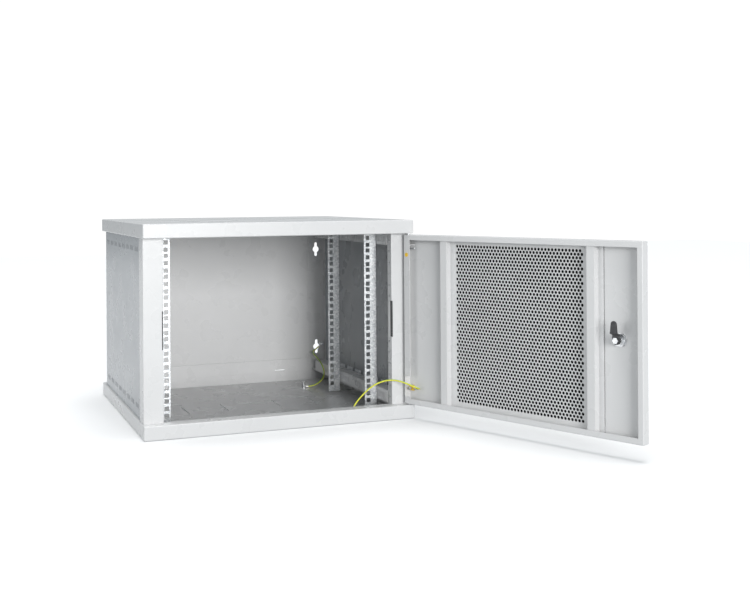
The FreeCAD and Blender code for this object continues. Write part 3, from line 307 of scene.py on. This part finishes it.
def plated(name, light, dark, rough_low, rough_high, metallic=1.0):
    """Plated metal with fine turning marks and a few dull patches."""
    finish, nodes, links, shader = new_material(name)
    patches = noise_of(nodes, links, 120.0, 5.0)
    links.new(ramp(nodes, links, patches, [(0.3, dark), (0.65, light)]), shader.inputs["Base Color"])
    shader.inputs["Metallic"].default_value = metallic
    marks = noise_of(nodes, links, 700.0, 3.0, (1.0, 1.0, 6.0))
    links.new(spread(nodes, links, marks, rough_low, rough_high), shader.inputs["Roughness"])
    bump(nodes, links, shader, marks, 0.00002, 0.5, soft_edges(nodes, 0.0003))
    return finish


def black_cam():
    """Dark passivated steel, rubbed to bare metal along its edges."""
    finish, nodes, links, shader = new_material("black_cam")
    worn = worn_edges(nodes, links, 0.0005)
    mottle = noise_of(nodes, links, 200.0, 4.0)
    black = ramp(nodes, links, mottle, [(0.3, (0.030, 0.030, 0.033)), (0.7, (0.055, 0.055, 0.058))])
    links.new(mix(nodes, links, worn, black, (0.30, 0.30, 0.31)), shader.inputs["Base Color"])
    shader.inputs["Metallic"].default_value = 0.4
    links.new(spread(nodes, links, mottle, 0.32, 0.50), shader.inputs["Roughness"])
    bump(nodes, links, shader, mottle, 0.00003, 0.5, soft_edges(nodes, 0.0004))
    return finish


def filter_felt():
    """Black filter felt of tangled fibres."""
    finish, nodes, links, shader = new_material("black_filter_mat")
    fibres = noise_of(nodes, links, 1600.0, 6.0)
    tufts = noise_of(nodes, links, 180.0, 3.0)
    dark = ramp(nodes, links, fibres, [(0.3, (0.004, 0.004, 0.0045)), (0.7, (0.014, 0.014, 0.015))])
    grey = ramp(nodes, links, tufts, [(0.3, 0.8), (0.7, 1.0)])
    links.new(mix(nodes, links, 1.0, dark, grey, "MULTIPLY"), shader.inputs["Base Color"])
    links.new(spread(nodes, links, fibres, 0.85, 1.0), shader.inputs["Roughness"])
    shader.inputs["Sheen Weight"].default_value = 0.02
    shader.inputs["Specular IOR Level"].default_value = 0.08
    bump(nodes, links, shader, fibres, 0.0004, 0.9)
    return finish


def lead_insulation():
    """Yellow insulation with two green stripes, read from the tube's own coordinates."""
    finish, nodes, links, shader = new_material("yellow_green_insulation")
    around = nodes.new("ShaderNodeSeparateXYZ")
    links.new(nodes.new("ShaderNodeUVMap").outputs["UV"], around.inputs["Vector"])
    yellow = (0.74, 0.72, 0.055)
    green = (0.16, 0.42, 0.06)
    stripes = ramp(nodes, links, around.outputs["X"],
                   [(0.0, yellow), (0.18, yellow), (0.21, green), (0.36, green), (0.39, yellow),
                    (0.68, yellow), (0.71, green), (0.86, green), (0.89, yellow)])
    scuffs = ramp(nodes, links, noise_of(nodes, links, 300.0, 4.0), [(0.3, 0.90), (0.7, 1.0)])
    links.new(mix(nodes, links, 1.0, stripes, scuffs, "MULTIPLY"), shader.inputs["Base Color"])
    links.new(spread(nodes, links, noise_of(nodes, links, 500.0), 0.28, 0.42), shader.inputs["Roughness"])
    bump(nodes, links, shader, noise_of(nodes, links, 800.0), 0.00003, 0.4)
    return finish


def yellow_plastic():
    finish, nodes, links, shader = new_material("yellow_marker")
    mottle = noise_of(nodes, links, 150.0, 4.0)
    colour = ramp(nodes, links, mottle, [(0.3, (0.74, 0.46, 0.030)), (0.7, (0.86, 0.57, 0.045))])
    links.new(colour, shader.inputs["Base Color"])
    links.new(spread(nodes, links, mottle, 0.38, 0.52), shader.inputs["Roughness"])
    bump(nodes, links, shader, noise_of(nodes, links, 900.0), 0.00003, 0.4)
    return finish


def make_materials():
    """One finish for each material slot of the record."""
    return {
        "grey_powder_coat": powder_coat("grey_powder_coat", (0.605, 0.606, 0.606), (0.640, 0.641, 0.641)),
        "panel_grey_coat": powder_coat("panel_grey_coat", (0.345, 0.362, 0.380), (0.370, 0.388, 0.405)),
        "galvanised_steel": galvanised_steel(),
        "zinc_plate": plated("zinc_plate", (0.74, 0.75, 0.76), (0.52, 0.53, 0.55), 0.22, 0.42),
        "tinned_lug": plated("tinned_lug", (0.78, 0.77, 0.74), (0.60, 0.59, 0.56), 0.28, 0.45),
        "spring_steel": plated("spring_steel", (0.34, 0.34, 0.35), (0.20, 0.20, 0.21), 0.25, 0.40),
        "chrome_lock": plated("chrome_lock", (0.72, 0.73, 0.74), (0.55, 0.56, 0.57), 0.14, 0.30),
        "black_cam": black_cam(),
        "black_filter_mat": filter_felt(),
        "yellow_green_insulation": lead_insulation(),
        "yellow_marker": yellow_plastic(),
    }


def dress_cad_nodes(finishes):
    """Give every carried-over node the finish of its slot."""
    for part in frame["record"]["subparts"]:
        mesh = NODES[part["node"]].data
        mesh.materials.clear()
        mesh.materials.append(finishes[part["material_slot"]])


# ---- earth leads ---------------------------------------------------------------------
LEAD_DIAMETER = 0.0034
LEAD_SIDES = 20


def route_line(name, points, steps):
    """Points along the smooth line that a route of control points describes."""
    curve = bpy.data.curves.new(name, "CURVE")
    curve.dimensions = "3D"
    spline = curve.splines.new("NURBS")
    spline.points.add(len(points) - 1)
    for target, point in zip(spline.points, points):
        target.co = (point[0], point[1] + FRONT, point[2], 1.0)
    spline.order_u = 3
    spline.use_endpoint_u = True
    spline.resolution_u = steps
    holder = bpy.data.objects.new(name, curve)
    bpy.context.scene.collection.objects.link(holder)
    line = bpy.data.meshes.new_from_object(holder)
    path = [vertex.co.copy() for vertex in line.vertices]
    bpy.data.objects.remove(holder)
    return path


def tube(name, path, radius, sides, finish):
    """Mesh tube along a path, with coordinates round it (U) and along it (V)."""
    mesh = bmesh.new()
    layer = mesh.loops.layers.uv.new("tube")
    ahead = (path[1] - path[0]).normalized()
    across = ahead.cross(Vector((0.0, 0.0, 1.0)))
    if across.length < 1e-3:
        across = ahead.cross(Vector((1.0, 0.0, 0.0)))
    across.normalize()
    rings = []
    for i, point in enumerate(path):
        before = path[max(i - 1, 0)]
        after = path[min(i + 1, len(path) - 1)]
        turned = (after - before).normalized()
        across.rotate(ahead.rotation_difference(turned))
        ahead = turned
        up = ahead.cross(across)
        ring = []
        for k in range(sides):
            angle = 2 * math.pi * k / sides
            ring.append(mesh.verts.new(point + radius * (math.cos(angle) * across + math.sin(angle) * up)))
        rings.append(ring)
    for i in range(len(rings) - 1):
        for k in range(sides):
            j = (k + 1) % sides
            face = mesh.faces.new((rings[i][k], rings[i][j], rings[i + 1][j], rings[i + 1][k]))
            face.smooth = True
            around = (k / sides, (k + 1) / sides, (k + 1) / sides, k / sides)
            along = (i, i, i + 1, i + 1)
            for loop, u, v in zip(face.loops, around, along):
                loop[layer].uv = (u, v / len(rings))
    mesh.faces.new(rings[0][::-1])
    mesh.faces.new(rings[-1])
    bmesh.ops.recalc_face_normals(mesh, faces=mesh.faces)
    return link_mesh(name, mesh, finish)


def link_mesh(name, source, finish):
    """Turn a bmesh into a named object with one finish."""
    mesh = bpy.data.meshes.new(name)
    source.to_mesh(mesh)
    source.free()
    mesh.materials.append(finish)
    piece = bpy.data.objects.new(name, mesh)
    bpy.context.scene.collection.objects.link(piece)
    return piece


# Each route starts and ends at its lugs: x, distance back from the front plane, z.
POST_LEAD_ROUTE = (
    (0.2719, 0.5616, 0.0878),
    (0.2623, 0.5616, 0.0806),
    (0.2515, 0.5515, 0.0770),
    (0.2480, 0.5340, 0.0740),
    (0.2485, 0.5110, 0.0685),
    (0.2495, 0.4860, 0.0605),
    (0.2500, 0.4620, 0.0475),
    (0.2475, 0.4470, 0.0305),
    (0.2350, 0.4420, 0.0150),
    (0.2145, 0.4442, 0.0049),
    (0.2028, 0.4466, 0.0049),
)
DOOR_LEAD_ROUTE = (
    (0.1508, 0.0527, 0.0049),
    (0.1616, 0.0475, 0.0049),
    (0.1680, 0.0445, 0.0200),
    (0.1760, 0.0420, 0.0355),
    (0.1885, 0.0380, 0.0510),
    (0.2030, 0.0320, 0.0665),
    (0.2180, 0.0255, 0.0775),
    (0.2350, 0.0180, 0.0845),
    (0.2530, 0.0095, 0.0865),
    (0.2670, -0.0010, 0.0835),
    (0.2780, -0.0120, 0.0790),
    (0.2875, -0.0215, 0.0745),
    (0.2965, -0.0225, 0.0705),
    (0.3035, -0.0175, 0.0675),
    (0.3054, -0.0096, 0.0660),
    (0.3026, -0.0032, 0.0660),
)


def earth_leads(finishes):
    finish = finishes["yellow_green_insulation"]
    line = route_line("post_lead", POST_LEAD_ROUTE, 12)
    lead = tube("post_lead", line, LEAD_DIAMETER / 2, LEAD_SIDES, finish)
    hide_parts("post_earth_lead")
    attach(lead, "cabinet")

    line = route_line("door_lead", DOOR_LEAD_ROUTE, 12)
    lead = tube("door_lead", line, LEAD_DIAMETER / 2, LEAD_SIDES, finish)
    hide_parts("door_earth_lead")
    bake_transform(lead)


# ---- filter mat ----------------------------------------------------------------------
MAT_SIZE = (0.4076, 0.37265)
MAT_CENTRE_X = 0.0005
MAT_FRONT = 0.00172         # from the front plane, with the door closed
MAT_BACK = 0.00268
MAT_CELLS = (96, 88)
MAT_DIP = 0.00012
DIPS_PER_METRE = 140


def opened(point):
    """Where a point of the closed door stands with the door open as at rest."""
    hinge = next(joint for joint in frame["joints"] if joint["name"] == "door_hinge")
    axis = Vector(hinge["pos_m"])
    turn = Matrix.Rotation(math.radians(-hinge["range_deg"][0]), 3, "Z")
    return axis + turn @ (point - axis)


def filter_mat(finishes):
    """Felt stretched flat between the door's two perforated sheets, a little uneven in thickness."""
    middle = (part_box("filter_mat")[0].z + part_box("filter_mat")[1].z) / 2
    across, tall = MAT_CELLS
    mesh = bmesh.new()
    layers = []
    for depth, inward in ((MAT_FRONT, 1), (MAT_BACK, -1)):
        rows = []
        for j in range(tall + 1):
            row = []
            for i in range(across + 1):
                x = MAT_CENTRE_X + MAT_SIZE[0] * (i / across - 0.5)
                z = middle + MAT_SIZE[1] * (j / tall - 0.5)
                dip = MAT_DIP * (0.5 + 0.5 * noise.noise(Vector((x, inward, z)) * DIPS_PER_METRE))
                row.append(mesh.verts.new(opened(Vector((x, FRONT + depth + inward * dip, z)))))
            rows.append(row)
        layers.append(rows)
    for rows in layers:
        for j in range(tall):
            for i in range(across):
                mesh.faces.new((rows[j][i], rows[j][i + 1], rows[j + 1][i + 1], rows[j + 1][i]))
    front, back = layers
    rim = [(0, i) for i in range(across)] + [(j, across) for j in range(tall)]
    rim += [(tall, i) for i in range(across, 0, -1)] + [(j, 0) for j in range(tall, 0, -1)]
    for (j, i), (l, k) in zip(rim, rim[1:] + rim[:1]):
        mesh.faces.new((front[j][i], front[l][k], back[l][k], back[j][i]))
    bmesh.ops.recalc_face_normals(mesh, faces=mesh.faces)
    felt = link_mesh("filter_felt", mesh, finishes["black_filter_mat"])
    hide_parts("filter_mat")
    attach(felt, "door")


# ---- latch slots, with black sheets behind them as painted shade ---------------------
SLOT_HALF = 0.042           # half height of a shade, a little more than the slot's
SHADE_INNER = 0.2551        # from the middle of the cabinet
SHADE_OUTER = 0.2600
SHADE_FRONT = 0.02355       # from the front plane, just behind the post's face
SHADE_SHEET = 0.0004
SHADE_ROUND = 0.0001
SHADE_DEPTH = 0.0335        # how far back the right-hand shade runs beside the post's return
RETURN_BACK = 0.25655       # just behind the post's inner return


def painted_shade_sheet(name, side, outline, finishes):
    """Thin black sheet behind a latch slot, painted shade for the dark inside of the slot: an outline in plan with
    rounded ends up and down.
    """
    middle = (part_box("front_post_right")[0].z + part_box("front_post_right")[1].z) / 2
    mesh = bmesh.new()
    base = [mesh.verts.new((side * x, FRONT + y, middle - SLOT_HALF)) for x, y in outline]
    face = mesh.faces.new(base)
    raised = bmesh.ops.extrude_face_region(mesh, geom=[face])
    moved = [item for item in raised["geom"] if isinstance(item, bmesh.types.BMVert)]
    bmesh.ops.translate(mesh, verts=moved, vec=(0.0, 0.0, 2 * SLOT_HALF))
    bmesh.ops.recalc_face_normals(mesh, faces=mesh.faces)
    bmesh.ops.bevel(mesh, geom=list(mesh.edges), offset=SHADE_ROUND, segments=2, affect="EDGES")
    shade = link_mesh(name, mesh, finishes["black_cam"])
    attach(shade, "cabinet")


def painted_shade_sheets(finishes):
    # The black sheets behind both slots are painted shade for the dark inside of the slots.
    front = SHADE_FRONT
    back = front + SHADE_SHEET
    flat = [(SHADE_INNER, front), (SHADE_OUTER, front), (SHADE_OUTER, back), (SHADE_INNER, back)]
    painted_shade_sheet("painted_shade_left", -1, flat, finishes)
    inner = RETURN_BACK
    folded = [(SHADE_OUTER, front), (SHADE_OUTER, back), (inner + SHADE_SHEET, back),
              (inner + SHADE_SHEET, SHADE_DEPTH), (inner, SHADE_DEPTH), (inner, front)]
    painted_shade_sheet("painted_shade_right", 1, folded, finishes)


# ---- hinge spring --------------------------------------------------------------------
SPRING_TURNS = 9
SPRING_WIRE = 0.0009


def hinge_spring(finishes):
    """Coil spring with closed ends, in the tube that its CAD node fills."""
    low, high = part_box("hinge_spring")
    centre = (low + high) / 2
    radius = (high.x - low.x) / 2 - SPRING_WIRE / 2
    steps = 20 * SPRING_TURNS
    path = []
    for i in range(steps + 1):
        share = i / steps
        angle = 2 * math.pi * SPRING_TURNS * share
        rise = share + 0.035 * math.sin(2 * math.pi * share)
        z = low.z + SPRING_WIRE / 2 + (high.z - low.z - SPRING_WIRE) * min(max(rise, 0.0), 1.0)
        path.append(Vector((centre.x + radius * math.cos(angle), centre.y + radius * math.sin(angle), z)))
    spring = tube("coil_spring", path, SPRING_WIRE / 2, 10, finishes["spring_steel"])
    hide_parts("hinge_spring")
    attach(spring, "door")
    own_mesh(spring)


place_camera()
light_studio()
lay_floor()
FINISHES = make_materials()
dress_cad_nodes(FINISHES)
earth_leads(FINISHES)
filter_mat(FINISHES)
painted_shade_sheets(FINISHES)
hinge_spring(FINISHES)
